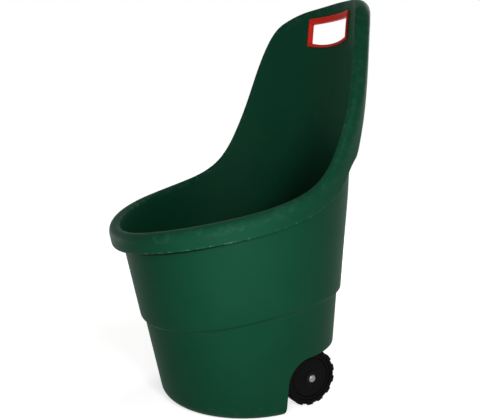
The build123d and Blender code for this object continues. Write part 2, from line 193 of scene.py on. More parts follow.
def moulded_plastic(name, deep, pale, pale_wear_and_glint, roughness, grain, depth):
    """Material of one moulded plastic: two shades, the pale shade of its rubbed edges and painted glints,
    and the grain size.
    """
    material = bpy.data.materials.new(name)
    tree = empty_tree(material)
    place = node(tree, "ShaderNodeTexCoord").outputs["Object"]
    drift = node(tree, "ShaderNodeTexNoise", {"Vector": place, "Scale": 1 / shade_drift, "Detail": 3.0})
    shade = node(tree, "ShaderNodeMix", {0: drift, 6: linear(deep), 7: linear(pale)}, data_type="RGBA")
    fine = node(
        tree, "ShaderNodeTexNoise", {"Vector": place, "Scale": 1 / grain, "Detail": 4.0, "Roughness": 0.6}
    )
    scuff_and_glint_noise = node(
        tree,
        "ShaderNodeTexNoise",
        {"Vector": place, "Scale": 1 / scuff_and_glint_size, "Detail": 5.0, "Roughness": 0.7},
    )
    wear_and_painted_light = node(tree, "ShaderNodeAttribute", attribute_name="wear_and_painted_light").outputs["Fac"]
    patch = node(
        tree, "ShaderNodeMapRange", {"Value": scuff_and_glint_noise, "From Min": 0.5, "From Max": 0.72, "To Max": 0.5}
    )
    # Above 0 the value paints pale patches: rubbing, a painted highlight and painted glints.
    wear_and_highlight = node(tree, "ShaderNodeMath", {0: wear_and_painted_light, 1: patch}, operation="MULTIPLY")
    wear_and_highlight = node(tree, "ShaderNodeMath", {0: wear_and_highlight, 1: 0.0}, operation="MAXIMUM")
    # Below 0 the value paints shadow, mixed towards the dark of the painted shadow.
    painted_shadow = node(tree, "ShaderNodeMath", {0: wear_and_painted_light, 1: -1.0}, operation="MULTIPLY", use_clamp=True)
    shadowed = node(
        tree, "ShaderNodeMix", {0: painted_shadow, 6: shade.outputs[2], 7: linear(painted_shadow_dark)}, data_type="RGBA"
    )
    colour = node(
        tree, "ShaderNodeMix", {0: wear_and_highlight, 6: shadowed.outputs[2], 7: linear(pale_wear_and_glint)}, data_type="RGBA"
    )
    smooth, rough = roughness - 0.05, roughness + 0.07
    satin = node(
        tree,
        "ShaderNodeMapRange",
        {"Value": fine, "From Min": 0.3, "From Max": 0.7, "To Min": smooth, "To Max": rough},
    )
    bump = node(tree, "ShaderNodeBump", {"Height": fine, "Strength": 0.35, "Distance": depth})
    surface = node(
        tree,
        "ShaderNodeBsdfPrincipled",
        {
            "Base Color": colour.outputs[2],
            "Roughness": satin,
            "Normal": bump,
            "IOR": 1.49,
            "Specular IOR Level": 0.05,
        },
    )
    node(tree, "ShaderNodeOutputMaterial", {"Surface": surface})
    return material


tub_green = moulded_plastic(
    "green_polypropylene", "#0a3a28", "#0f422e", "#46745f", 0.58, 2.2 * mm, 0.25 * mm
)
grip_red = moulded_plastic("red_polypropylene", "#d9281c", "#e43327", "#f09488", 0.36, 1.6 * mm, 0.1 * mm)
wheel_black = moulded_plastic(
    "black_polypropylene", "#050505", "#080808", "#2c2c2a", 0.55, 1.6 * mm, 0.15 * mm
)
tread_black = moulded_plastic(
    "black_tread_polypropylene", "#050505", "#090909", "#343230", 0.62, 1.8 * mm, 0.25 * mm
)
nylon_black = moulded_plastic("black_nylon", "#161616", "#1e1e1e", "#555555", 0.42, 1.2 * mm, 0.08 * mm)
print("plastics", [m.name for m in bpy.data.materials if "poly" in m.name or "nylon" in m.name])

# %% [markdown]
# The metal pieces are drawn or pressed steel. Zinc plate is dull and slightly cloudy, spring steel is
# darker, and the nickel plate of the caps over the axle ends has gone a little grey. One noise of soft
# clouds drives colour, roughness and bump together, so that a duller patch is also paler, as on real plate.

# %% Plated steels


def plated_steel(name, deep, pale, roughness, cloud):
    """Material of one plated steel: two shades of its clouding, and the size of the clouds."""
    material = bpy.data.materials.new(name)
    tree = empty_tree(material)
    place = node(tree, "ShaderNodeTexCoord").outputs["Object"]
    clouds = node(tree, "ShaderNodeTexNoise", {"Vector": place, "Scale": 1 / cloud, "Detail": 4.0})
    shade = node(tree, "ShaderNodeMix", {0: clouds, 6: linear(deep), 7: linear(pale)}, data_type="RGBA")
    smooth, rough = roughness - 0.06, roughness + 0.1
    dull = node(tree, "ShaderNodeMapRange", {"Value": clouds, "To Min": smooth, "To Max": rough})
    bump = node(tree, "ShaderNodeBump", {"Height": clouds, "Strength": 0.2, "Distance": 0.05 * mm})
    surface = node(
        tree,
        "ShaderNodeBsdfPrincipled",
        {"Base Color": shade.outputs[2], "Metallic": 1.0, "Roughness": dull, "Normal": bump},
    )
    node(tree, "ShaderNodeOutputMaterial", {"Surface": surface})
    return material


zinc_plate = plated_steel("zinc_plated_steel", "#8d8f8e", "#b5b6b2", 0.36, 5 * mm)
spring_plate = plated_steel("phosphated_spring_steel", "#4c4d4e", "#6b6b69", 0.42, 3 * mm)
nickel_plate = plated_steel("bright_nickel_plate", "#757673", "#8f8f8b", 0.4, 4 * mm)
print("steels", [m.name for m in bpy.data.materials if "steel" in m.name or "nickel" in m.name])

# %% [markdown]
# ## Tub
# The tub is one moulding. Every level cut through its wall is an ellipse that grows upwards, and the rim
# climbs around it from the low lip to the top of the back. So the wall can be drawn as a flat sheet, with
# the plan angle along it and the height up it, and a Geometry Nodes tree then wraps that sheet around the
# ellipses. The rim's climb comes first: a smooth curve through a few heights around the plan.

# %% Climb of the rim and of the step


def smooth_curve(points, at):
    """Values at some places on the smoothest curve through (place, value) points, level at both ends."""
    places, values = np.array(points, float).T
    spans = np.diff(places)
    rises = np.diff(values) / spans**2
    ties = np.eye(len(points))
    pulls = np.zeros(len(points))
    for i in range(1, len(points) - 1):
        ties[i, i - 1 : i + 2] = 1 / spans[i - 1], 2 / spans[i - 1] + 2 / spans[i], 1 / spans[i]
        pulls[i] = 3 * (rises[i - 1] + rises[i])
    slopes = np.linalg.solve(ties, pulls)
    i = np.clip(np.searchsorted(places, at) - 1, 0, len(spans) - 1)
    t = (at - places[i]) / spans[i]
    bend_in = slopes[i] * spans[i] - values[i + 1] + values[i]
    bend_out = values[i + 1] - values[i] - slopes[i + 1] * spans[i]
    return (1 - t) * values[i] + t * values[i + 1] + t * (1 - t) * ((1 - t) * bend_in + t * bend_out)


rim_climb = [
    (-90, 369.8), (-60, 381.7), (-30, 406.3), (0, 439.4), (14, 466.8), (24, 508.5), (32, 570.8), (39, 654.4),
    (46, 766.6), (53, 808.0), (62, 824.5), (75, 833.0), (90, 836.5),
]
step_climb = [(-90, 178.0), (-60, 184.5), (-30, 201.2), (0, 222.3), (30, 231.2), (90, 232.0)]
overhangs = [(-90, 22.0), (0, 22.0), (30, 17.3), (60, 29.5), (90, 26.0)]


def rim_height(angles):
    """Height of the rim's crest at some plan angles: -90 is the lip and 90 the top of the back."""
    return smooth_curve(rim_climb, angles) * mm


print("rim heights at lip, side and back", rim_height(np.array([-90.0, 0.0, 90.0])))

# %% [markdown]
# The wall's rule: half widths and half lengths of the ellipse at any height. It is needed twice, once here
# to space the sheet's columns evenly along the rim, and once as a node tree.

# %% Wall rule
wall = 3.0 * mm
wall_sizes = {
    "Base Half Width": 172.6 * mm,
    "Base Half Length": 182.6 * mm,
    "Base Middle": 21.77 * mm,
    "Side Draft": 0.119,
    "Front Draft": 0.22,
    "Back Draft": 0.045,
    "Panel Start": 430 * mm,
    "Spread": 0.188,
    "Flatten": 0.904,
    "Taper From": 561.5 * mm,
    "Taper": 1.3,
    "Flare From": 597.5 * mm,
    "Flare": 1.0,
}


def wall_ellipse(height):
    """Middle, half length and half width of the lower wall's plan section at some heights."""
    s = wall_sizes
    panel = np.maximum(0, height - s["Panel Start"]) ** 2
    ahead = s["Base Half Length"] + s["Front Draft"] * height - s["Flatten"] * panel
    behind = s["Base Half Length"] + s["Back Draft"] * np.minimum(height, s["Panel Start"])
    behind = behind + s["Flare"] * np.maximum(0, height - s["Flare From"]) ** 3
    across = s["Base Half Width"] + s["Side Draft"] * height + s["Spread"] * panel
    across = across - s["Taper"] * np.maximum(0, height - s["Taper From"]) ** 2
    return s["Base Middle"] + (behind - ahead) / 2, (ahead + behind) / 2, across


def around_rim(count):
    """Plan angles of columns spaced evenly along the rim, all the way round."""
    fine = np.linspace(-90, 90, 3001)
    height = rim_height(fine)
    middle, length, across = wall_ellipse(height)
    turn = np.radians(fine)
    line = np.stack([across * np.cos(turn), middle + length * np.sin(turn), height], 1)
    run = np.concatenate([[0], np.cumsum(np.linalg.norm(np.diff(line, axis=0), axis=1))])
    half = np.interp(np.linspace(0, run[-1], count // 2 + 1), run, fine)
    return np.concatenate([half, 180 - half[-2:0:-1]])


columns = around_rim(400)
near_angles = np.where(columns > 90, 180 - columns, columns)
print("columns around the rim", len(columns))

# %% [markdown]
# At each column the moulding's section has its own heights and distances out. Where the rim is steep the
# roll is stretched in height, so that it keeps its thickness square to the rim. The skirt is shallower over
# the hand opening.

# %% Section at each column
step_out = 7.3 * mm
step_half = 4.5 * mm
floor_thickness = 4 * mm
base_round = 23 * mm
inner_round = base_round - wall
floor_end = 40 * mm
rim_skirt = 38 * mm
rim_top_skirt = 25 * mm
skirt_fade = (52, 66)
rim_outer_round = 22 * mm
rim_inner_round = 6 * mm
rim_flat = 2 * mm
skirt_round = 1.3 * mm

crest = rim_height(near_angles)
step = smooth_curve(step_climb, near_angles) * mm
middle, length, across = wall_ellipse(crest)
turn = np.radians(near_angles)
run = np.hypot(across * np.sin(turn), length * np.cos(turn)) * radians(2)
climb = rim_height(np.minimum(near_angles + 1, 90)) - rim_height(np.maximum(near_angles - 1, -90))
stretch = np.hypot(1, climb / run)

fade = np.clip((near_angles - skirt_fade[0]) / (skirt_fade[1] - skirt_fade[0]), 0, 1)
skirt = rim_skirt + (rim_top_skirt - rim_skirt) * fade**2 * (3 - 2 * fade)
skirt_end = crest - skirt * stretch
edge_high = skirt_end + skirt_round
roll_low = crest - rim_outer_round * stretch
lip_low = crest - rim_inner_round * stretch
pocket_top = crest - wall * stretch
roll_out = step_out + smooth_curve(overhangs, near_angles) * mm
skirt_in = roll_out - wall
edge_out = roll_out - wall / 2
inside_out = step_out - wall
crest_in = inside_out + rim_inner_round
crest_out = crest_in + rim_flat
pocket_low = pocket_top - (crest_out - step_out) * stretch
print("roll stretched up to", round(float(stretch.max()), 2), "times")

# %% [markdown]
# The sheet's rows follow that section: out under the floor, round the base edge, up the lower wall, over the
# step, up to the hollow under the rim, down and round the skirt, over the rolled crest, and down the inside
# to the floor. Each row has a distance out, a height and a value for the plastic's look there: above 0 pale
# rubbing, painted highlights and painted glints, below 0 painted shadow under the skirt.

# %% Rows of the sheet
base_rub = 0.25
# Painted glints on the skirt's lower edge, broken into dashes by the patch noise.
edge_glint = (1.4, 2.0)
# Rubbing and a painted highlight along the rim's crest, strongest on its inner edge.
crest_wear_and_highlight = (0.3, 0.4, 0.8)
# Painted shadow on the wall under the rim's skirt: darkest just below the skirt's end, fading up behind it.
skirt_shadow = (-0.9, -0.5, -0.3)
# Reach of that painted shadow below the skirt's end.
shadow_band = 7 * mm
ground = 0 * crest
corner_low = floor_thickness + inner_round
rows = [(-floor_end, ground, 0.0), (-base_round, ground, 0.0)]


def line_rows(out, low, high, count, wear_and_painted_light=0.0):
    """Rows up or down the wall at one distance out, without the first."""
    for share in np.linspace(0, 1, count + 1)[1:]:
        rows.append((out, low + (high - low) * share, wear_and_painted_light))


def quarter_round(start, corner, end, count):
    """Pairs of values around a quarter-round from start to end, inside a corner."""
    pairs = []
    for angle in np.linspace(0, pi / 2, count):
        a, b = 1 - sin(angle), 1 - cos(angle)
        pairs.append(tuple(c + (s - c) * a + (e - c) * b for s, c, e in zip(start, corner, end)))
    return pairs


def round_rows(start, corner, end, count, wear_and_painted_light=0.0):
    """Rows around a quarter-round, without the first."""
    rows.extend((*pair, wear_and_painted_light) for pair in quarter_round(start, corner, end, count + 1)[1:])


def step_rows(below, above, way, count):
    """Rows over the rounded step, upwards or downwards, without the first."""
    for t in np.linspace(0, 1, count + 1)[1:]:
        s = t if way > 0 else 1 - t
        out = below + (above - below) * (3 * s**2 - 2 * s**3)
        height = step + step_half * (s**3 - (1 - s) ** 3)
        rows.append((out, height, 0.0))


round_rows((-base_round, ground), (0, ground), (0, base_round), 10, base_rub)
line_rows(0, base_round, step - step_half, 14)
step_rows(0, step_out, 1, 10)
line_rows(step_out, step + step_half, skirt_end - shadow_band, 22)
# Painted shadow on the wall under the rim's skirt.
line_rows(step_out, skirt_end - shadow_band, skirt_end - shadow_band / 2, 2, skirt_shadow[0])
line_rows(step_out, skirt_end - shadow_band / 2, skirt_end + shadow_band, 2, skirt_shadow[1])
line_rows(step_out, skirt_end + shadow_band, pocket_low, 6, skirt_shadow[2])
round_rows((step_out, pocket_low), (step_out, pocket_top), (crest_out, pocket_top), 5)
round_rows((crest_out, pocket_top), (skirt_in, pocket_top), (skirt_in, roll_low), 7)
line_rows(skirt_in, roll_low, edge_high, 5)
# Painted glints on the skirt's lower edge.
round_rows((skirt_in, edge_high), (skirt_in, skirt_end), (edge_out, skirt_end), 4, edge_glint[0])
round_rows((edge_out, skirt_end), (roll_out, skirt_end), (roll_out, edge_high), 4, edge_glint[1])
line_rows(roll_out, edge_high, roll_low, 6)
# Rubbing and a painted highlight over the crest and its inner edge.
round_rows((roll_out, roll_low), (roll_out, crest), (crest_out, crest), 14, crest_wear_and_highlight[0])
rows.append((crest_in, crest, crest_wear_and_highlight[1]))
round_rows((crest_in, crest), (inside_out, crest), (inside_out, lip_low), 8, crest_wear_and_highlight[2])
line_rows(inside_out, lip_low, step + step_half, 26)
step_rows(-wall, inside_out, -1, 10)
line_rows(-wall, step - step_half, corner_low, 12)
floor_level = floor_thickness + ground
round_rows((-wall, corner_low), (-wall, floor_thickness), (-wall - inner_round, floor_level), 8)
rows.append((-floor_end, floor_level, 0.0))
print("rows", len(rows))

# %% [markdown]
# Geometry Nodes trees share their start and end: a geometry and some named sizes come in, and real copies
# with one material go out, because an export drops instances. The result is then kept as a plain mesh.

# %% Helpers for Geometry Nodes


def shape_tree(name, sizes, counts=()):
    """Geometry Nodes tree with named sizes and counts, and the outputs of its input node."""
    tree = bpy.data.node_groups.new(name, "GeometryNodeTree")
    tree.interface.new_socket("Geometry", in_out="INPUT", socket_type="NodeSocketGeometry")
    for kind, names in (("NodeSocketInt", counts), ("NodeSocketFloat", sizes)):
        for size in names:
            tree.interface.new_socket(size, in_out="INPUT", socket_type=kind)
    tree.interface.new_socket("Geometry", in_out="OUTPUT", socket_type="NodeSocketGeometry")
    return tree, node(tree, "NodeGroupInput").outputs


def end_tree(tree, geometry, material):
    """The same tree, ended with real copies in one material."""
    whole = node(tree, "GeometryNodeRealizeInstances", {0: geometry})
    dressed = node(tree, "GeometryNodeSetMaterial", {"Geometry": whole, "Material": material})
    node(tree, "NodeGroupOutput", {0: dressed})
    return tree


def through_tree(name, mesh, tree, sizes):
    """Plain mesh that a Geometry Nodes tree makes from a mesh, with the tree's named sizes."""
    source = bpy.data.objects.new(name + "_source", mesh)
    scene.collection.objects.link(source)
    modifier = source.modifiers.new("rule", "NODES")
    modifier.node_group = tree
    sockets = {s.name: s.identifier for s in tree.interface.items_tree if s.in_out == "INPUT"}
    for size, value in sizes.items():
        modifier[sockets[size]] = value
    depsgraph = bpy.context.evaluated_depsgraph_get()
    made = bpy.data.meshes.new_from_object(source.evaluated_get(depsgraph))
    made.name = name
    bpy.data.objects.remove(source)
    return made


print("sizes in the wall's rule", len(wall_sizes))

# %% [markdown]
# The wrap tree repeats the wall's rule, one line of arithmetic per node. Each line names its result, the
# operation and what goes into it: a named size, an earlier result or a plain number.

# %% Wrap the sheet


def wrap_tree(material):
    """Geometry Nodes that wrap a sheet (plan angle, distance out, height) around the wall's ellipses."""
    tree, size = shape_tree("wrap_tub_wall", wall_sizes)
    sheet = node(tree, "ShaderNodeSeparateXYZ", {0: node(tree, "GeometryNodeInputPosition")})
    known = dict(zip(("angle", "out", "height"), sheet.outputs)) | {name: size[name] for name in wall_sizes}
    for result, operation, *terms in (
        ("raised", "SUBTRACT", "height", "Panel Start"),
        ("raised", "MAXIMUM", "raised", 0.0),
        ("panel", "MULTIPLY", "raised", "raised"),
        ("flattened", "MULTIPLY", "panel", "Flatten"),
        ("ahead", "MULTIPLY_ADD", "height", "Front Draft", "Base Half Length"),
        ("ahead", "SUBTRACT", "ahead", "flattened"),
        ("drafted", "MINIMUM", "height", "Panel Start"),
        ("behind", "MULTIPLY_ADD", "drafted", "Back Draft", "Base Half Length"),
        ("over", "SUBTRACT", "height", "Flare From"),
        ("over", "MAXIMUM", "over", 0.0),
        ("cubed", "POWER", "over", 3.0),
        ("behind", "MULTIPLY_ADD", "cubed", "Flare", "behind"),
        ("above", "SUBTRACT", "height", "Taper From"),
        ("above", "MAXIMUM", "above", 0.0),
        ("squared", "MULTIPLY", "above", "above"),
        ("lost", "MULTIPLY", "squared", "Taper"),
        ("across", "MULTIPLY_ADD", "height", "Side Draft", "Base Half Width"),
        ("across", "MULTIPLY_ADD", "panel", "Spread", "across"),
        ("across", "SUBTRACT", "across", "lost"),
        ("across", "ADD", "across", "out"),
        ("total", "ADD", "ahead", "behind"),
        ("along", "MULTIPLY_ADD", "total", 0.5, "out"),
        ("shift", "SUBTRACT", "behind", "ahead"),
        ("centre", "MULTIPLY_ADD", "shift", 0.5, "Base Middle"),
        ("cosine", "COSINE", "angle"),
        ("sine", "SINE", "angle"),
        ("x", "MULTIPLY", "across", "cosine"),
        ("y", "MULTIPLY_ADD", "along", "sine", "centre"),
    ):
        feeds = {i: known.get(term, term) for i, term in enumerate(terms)}
        known[result] = node(tree, "ShaderNodeMath", feeds, operation=operation)
    wrapped = node(tree, "ShaderNodeCombineXYZ", {"X": known["x"], "Y": known["y"], "Z": known["height"]})
    placed = node(tree, "GeometryNodeSetPosition", {"Geometry": size["Geometry"], "Position": wrapped})
    return end_tree(tree, placed, material)


def quads(rings, count, closed=False):
    """Faces between rings of points, the last ring joined to the first if they close."""
    faces = []
    for r in range(rings if closed else rings - 1):
        up = (r + 1) % rings
        for c in range(count):
            n = (c + 1) % count
            faces.append((r * count + c, r * count + n, up * count + n, up * count + c))
    return faces


def sheet_mesh(name):
    """The flat sheet: one vertex per column and row, closed round the plan, with its two floors filled."""
    count = len(columns)
    angles = np.radians(columns)
    places = [np.stack([angles, out + 0 * angles, height + 0 * angles], 1) for out, height, _ in rows]
    last = (len(rows) - 1) * count
    faces = quads(len(rows), count)
    faces.append(tuple(range(count))[::-1])
    faces.append(tuple(range(last, last + count)))
    mesh = bpy.data.meshes.new(name)
    mesh.from_pydata(np.concatenate(places).tolist(), [], faces)
    wear_and_light_values = mesh.attributes.new("wear_and_painted_light", "FLOAT", "POINT")
    wear_and_light_values.data.foreach_set("value", np.repeat([wear_and_painted_light for _, _, wear_and_painted_light in rows], count).astype(np.float32))
    return mesh


tub_mesh = through_tree("tub", sheet_mesh("tub_sheet"), wrap_tree(tub_green), wall_sizes)
print("tub shell", len(tub_mesh.polygons), "faces")

# %% [markdown]
# The rear of the tub's underside is cut away for the wheels, and a thin lining closes that recess against
# the inside. These are straight cuts through a curved wall, so Boolean modifiers with simple prisms do them,
# as a cutter in the mould would.

# %% Wheel recess
wheel_radius = 58.4 * mm
axle_back = 92.8 * mm
axle_height = wheel_radius
arch_front = 18 * mm
arch_foot = 9 * mm
arch_height = 117 * mm
arch_round = 47 * mm
recess_height = 124 * mm
below_ground = -0.05
past_back = 0.5
past_side = 0.4
past_lining = 0.5
plug_top = 180 * mm


def outward(mesh, *more):
    """The same mesh, with any others joined to it and all faces turned outwards."""
    shape = bmesh.new()
    for part in (mesh, *more):
        shape.from_mesh(part)
    bmesh.ops.recalc_face_normals(shape, faces=shape.faces)
    shape.to_mesh(mesh)
    shape.free()
    return mesh


def prism(name, outline, axis, low, high):
    """Closed prism over an outline of (u, v) points: along X it is (y, z), and along Y it is (x, z)."""
    count = len(outline)
    places = []
    for depth in (low, high):
        places += [(depth, u, v) if axis == "X" else (u, depth, v) for u, v in outline]
    faces = [tuple(range(count)), tuple(range(2 * count - 1, count - 1, -1))]
    faces += [(i, count + i, count + (i + 1) % count, (i + 1) % count) for i in range(count)]
    mesh = bpy.data.meshes.new(name)
    mesh.from_pydata(places, [], faces)
    return outward(mesh)


def combine(mesh, other, operation):
    """Plain mesh of one mesh cut by, joined with or kept inside another."""
    base = bpy.data.objects.new("base", mesh)
    tool = bpy.data.objects.new("tool", other)
    scene.collection.objects.link(base)
    scene.collection.objects.link(tool)
    modifier = base.modifiers.new("cut", "BOOLEAN")
    modifier.operation = operation
    modifier.solver = "EXACT"
    modifier.object = tool
    depsgraph = bpy.context.evaluated_depsgraph_get()
    made = bpy.data.meshes.new_from_object(base.evaluated_get(depsgraph))
    bpy.data.objects.remove(base)
    bpy.data.objects.remove(tool)
    return made


def arch_outline(front, top, radius):
    """Side view of the wheel recess, open below and behind."""
    foot = []
    for a in np.linspace(0, pi / 2, 9):
        foot.append((front - arch_foot + arch_foot * sin(a), arch_foot - arch_foot * cos(a)))
    corner = []
    for a in np.linspace(0, pi / 2, 25):
        corner.append((front + radius - radius * cos(a), top - radius + radius * sin(a)))
    return [(front - arch_foot, below_ground), *foot, *corner, (past_back, top), (past_back, below_ground)]


def plug(name, top, out):
    """Closed solid inside the wall from the floor to one height, with the base's rounded edge."""
    turn = np.linspace(0, 2 * pi, 200, endpoint=False)
    radius = base_round + out
    levels = [(radius * (1 - cos(a)), out - radius * (1 - sin(a))) for a in np.linspace(0, pi / 2, 9)]
    places = []
    for height, push in [*levels, (top, out)]:
        middle, length, across = wall_ellipse(np.array(height))
        places += [((across + push) * cos(t), middle + (length + push) * sin(t), height) for t in turn]
    count, last = len(turn), len(levels)
    faces = [tuple(range(count))[::-1], tuple(range(last * count, (last + 1) * count))]
    mesh = bpy.data.meshes.new(name)
    mesh.from_pydata(places, [], faces + quads(last + 1, count))
    return mesh


arch = prism("arch", arch_outline(arch_front, arch_height, arch_round), "X", -past_side, past_side)
tub_mesh = combine(tub_mesh, arch, "DIFFERENCE")
outer_arch = arch_outline(arch_front - wall, recess_height + wall, arch_round + wall)
inner_arch = arch_outline(arch_front, recess_height, arch_round)
lining = prism("lining", outer_arch, "X", -past_side, past_side)
lining = combine(lining, prism("hollow", inner_arch, "X", -past_lining, past_lining), "DIFFERENCE")
lining = combine(lining, plug("plug", plug_top, -wall / 2), "INTERSECT")
tub_mesh = combine(tub_mesh, lining, "UNION")
print("tub with recess", len(tub_mesh.polygons), "faces")

# %% [markdown]
# The hand opening is cut through the back panel in the same way. Its front view has a straight top and
# straight sides, rounded upper corners and a bottom that sags a little.

# %% Hand opening
grip_half_width = 72 * mm
grip_top = 810.5 * mm
grip_corner = 750 * mm
grip_sag = 8 * mm
grip_round = 4 * mm
hole_round = 2 * mm
side_flange = 5.4 * mm
bottom_flange = 5.8 * mm
grip_bar = 13.5 * mm
grip_liner = 2.5 * mm
grip_clearance = 0.5 * mm
gap = grip_liner + grip_clearance
before_panel, behind_panel = 0.1, 0.5


def rounded_outline(corners, radius, count):
    """Outline through straight sides with rounded corners, anticlockwise."""
    points = []
    for i, corner in enumerate(corners):
        here = np.array(corner)
        before = np.array(corners[i - 1]) - here
        after = np.array(corners[(i + 1) % len(corners)]) - here
        before, after = before / np.linalg.norm(before), after / np.linalg.norm(after)
        bend = np.arccos(np.clip(before @ after, -1, 1))
        reach = radius / np.tan(bend / 2)
        start, end = here + before * reach, here + after * reach
        for t in np.linspace(0, 1, count):
            points.append((1 - t) ** 2 * start + 2 * t * (1 - t) * here + t**2 * end)
    return np.array(points)


def opening_outline(half_width, top, corner, growth, radius, count=8):
    """Front view of the hand opening or of its frame: straight top and sides, sagging bottom."""
    side, high, low = half_width + growth, top + growth, corner - growth
    chord = np.linspace(side, -side, 33)
    bow = (side**2 + grip_sag**2) / (2 * grip_sag)
    bottom = low - grip_sag + bow - np.sqrt(bow**2 - chord**2)
    upper = rounded_outline([(-side, low), (-side, high), (side, high), (side, low)], radius, count)
    upper = upper[count : 3 * count]
    start, end = upper[count - 1], upper[count]
    shares = np.linspace(0, 1, 9)
    left = [(-side, low + (upper[0][1] - low) * s) for s in shares[:-1]]
    over = [tuple(start + (end - start) * s) for s in np.linspace(0, 1, 25)[1:-1]]
    down = [(side, upper[-1][1] + (low - upper[-1][1]) * s) for s in shares[1:-1]]
    lower = list(zip(chord, bottom))[:-1]
    return [*left, *map(tuple, upper[:count]), *over, *map(tuple, upper[count:]), *down, *lower]


hole = (grip_half_width - side_flange, grip_top - grip_bar, grip_corner + bottom_flange)
cut = opening_outline(*hole, gap, grip_round + grip_liner)
tub_mesh = combine(tub_mesh, prism("hand_cut", cut, "Y", before_panel, behind_panel), "DIFFERENCE")
print("tub with hand opening", len(tub_mesh.polygons), "faces")

# %% [markdown]
# Two brackets hang from the roof of the recess and carry the axle in bushes. Each is a plate with a round
# boss, drawn as the hull of a circle and a straight foot. A hull finds the straight sides that touch the
# circle by itself, so they need no working out.

# %% Brackets
bracket_in, bracket_end = 84 * mm, 92 * mm
bracket_half_length = 45 * mm
bracket_bite = 1.5 * mm
boss_radius = 16 * mm


def bracket(side):
    """Bracket plate of one side, hung under the recess roof."""
    turn = np.linspace(0, 2 * pi, 48, endpoint=False)
    boss = [(axle_back + boss_radius * cos(t), axle_height + boss_radius * sin(t)) for t in turn]
    ends = (axle_back - bracket_half_length, axle_back + bracket_half_length)
    foot = [(y, recess_height + bite) for y in ends for bite in (0, bracket_bite)]
    shape = bmesh.new()
    for depth in (bracket_in, bracket_end):
        for y, z in boss + foot:
            shape.verts.new((side * depth, y, z))
    hull = bmesh.ops.convex_hull(shape, input=shape.verts)
    bmesh.ops.delete(shape, geom=hull["geom_interior"], context="VERTS")
    bmesh.ops.dissolve_limit(shape, angle_limit=radians(1), verts=shape.verts, edges=shape.edges)
    bmesh.ops.recalc_face_normals(shape, faces=shape.faces)
    mesh = bpy.data.meshes.new("bracket")
    shape.to_mesh(mesh)
    shape.free()
    return mesh


for side in (1, -1):
    tub_mesh = combine(tub_mesh, bracket(side), "UNION")
print("tub with brackets", len(tub_mesh.polygons), "faces")

# %% [markdown]
# A finished mesh becomes a piece: it gets one material, rides on a body and takes the place of its solid.

# %% Finish the tub
sharp_angle = radians(32)


def finish_piece(name, mesh, material, body, solid):
    """Piece of a finished mesh: smooth but for its sharp edges, riding on a body in place of a solid."""
    mesh.materials.clear()
    mesh.materials.append(material)
    for polygon in mesh.polygons:
        polygon.material_index = 0
    mesh.shade_smooth()
    mesh.set_sharp_from_angle(angle=sharp_angle)
    piece = bpy.data.objects.new(name, mesh)
    scene.collection.objects.link(piece)
    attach(piece, body)
    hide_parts(solid)
    print(name, len(mesh.polygons), "faces")


finish_piece("moulded_tub", tub_mesh, tub_green, "cart", "tub")

# %% [markdown]
# ## Hand grip
# The red grip is a frame of two mouldings that clamp the edge of the opening. Each is one closed section,
# carried around the opening's outline as a row of rings that share their corners, and every ring follows
# the curve of the back panel. A bevelled curve could not keep its flat back on that panel, so the rings are
# worked out one by one. The front frame has a lining that goes through the panel, and its edges are rounded
# for the hand.

# %% Grip frames
grip_proud = 4 * mm
grip_rear_thickness = 2 * mm
front_edge = 1.8 * mm
rear_edge = 0.7 * mm
frame_size = (grip_half_width, grip_top, grip_corner)
rear_face = step_out + grip_clearance
rear_end = rear_face + grip_rear_thickness
front_back = inside_out - grip_clearance
front_face = front_back - grip_proud
liner_round = grip_round + grip_liner


def panel_back(across, height, out):
    """Y of the back panel at one place across and up, pushed out from the lower wall."""
    middle, length, half = wall_ellipse(np.asarray(height))
    return middle + (length + out) * np.sqrt(1 - (np.asarray(across) / (half + out)) ** 2)


def ring(size, growth, radius, out):
    """One ring of a grip frame: an outline grown by some amount, laid on the panel's curve."""
    x, z = np.array(opening_outline(*size, growth, radius)).T
    return np.stack([x, panel_back(x, z, out), z], 1)


def rounded_rings(size, start, corner, end, radius, count=5):
    """Rings around a rounded edge; start, corner and end are (growth, distance out)."""
    pairs = quarter_round(start, corner, end, count)
    return [ring(size, growth, radius + growth, out) for growth, out in pairs]


def closed_rings(name, rings):
    """Closed mesh through rings with the same count of points, the last joined to the first."""
    mesh = bpy.data.meshes.new(name)
    mesh.from_pydata(np.concatenate(rings).tolist(), [], quads(len(rings), len(rings[0]), closed=True))
    return outward(mesh)


front_low = front_face + front_edge
front_rings = [
    ring(hole, 0, hole_round, rear_end),
    *rounded_rings(hole, (0, front_low), (0, front_face), (front_edge, front_face), hole_round),
    *rounded_rings(frame_size, (-front_edge, front_face), (0, front_face), (0, front_low), grip_round),
    ring(frame_size, 0, grip_round, front_back),
    ring(hole, grip_liner, liner_round, front_back),
    ring(hole, grip_liner, liner_round, rear_end),
]
front_mesh = closed_rings("grip_front_frame", front_rings)
finish_piece("grip_front_frame", front_mesh, grip_red, "cart", "grip_front")

rear_low = rear_end - rear_edge
rear_rings = [
    ring(hole, gap, grip_round + gap, rear_face),
    *rounded_rings(hole, (gap, rear_low), (gap, rear_end), (gap + rear_edge, rear_end), grip_round),
    *rounded_rings(frame_size, (-rear_edge, rear_end), (0, rear_end), (0, rear_low), grip_round),
    ring(frame_size, 0, grip_round, rear_face),
]
rear_mesh = closed_rings("grip_rear_frame", rear_rings)
finish_piece("grip_rear_frame", rear_mesh, grip_red, "cart", "grip_rear")

# %% [markdown]
# Three pan-head screws hold the rear frame. They repeat, so a Geometry Nodes tree makes one head, a flat
# dome with a cross recess, and sets a copy on each of three points.

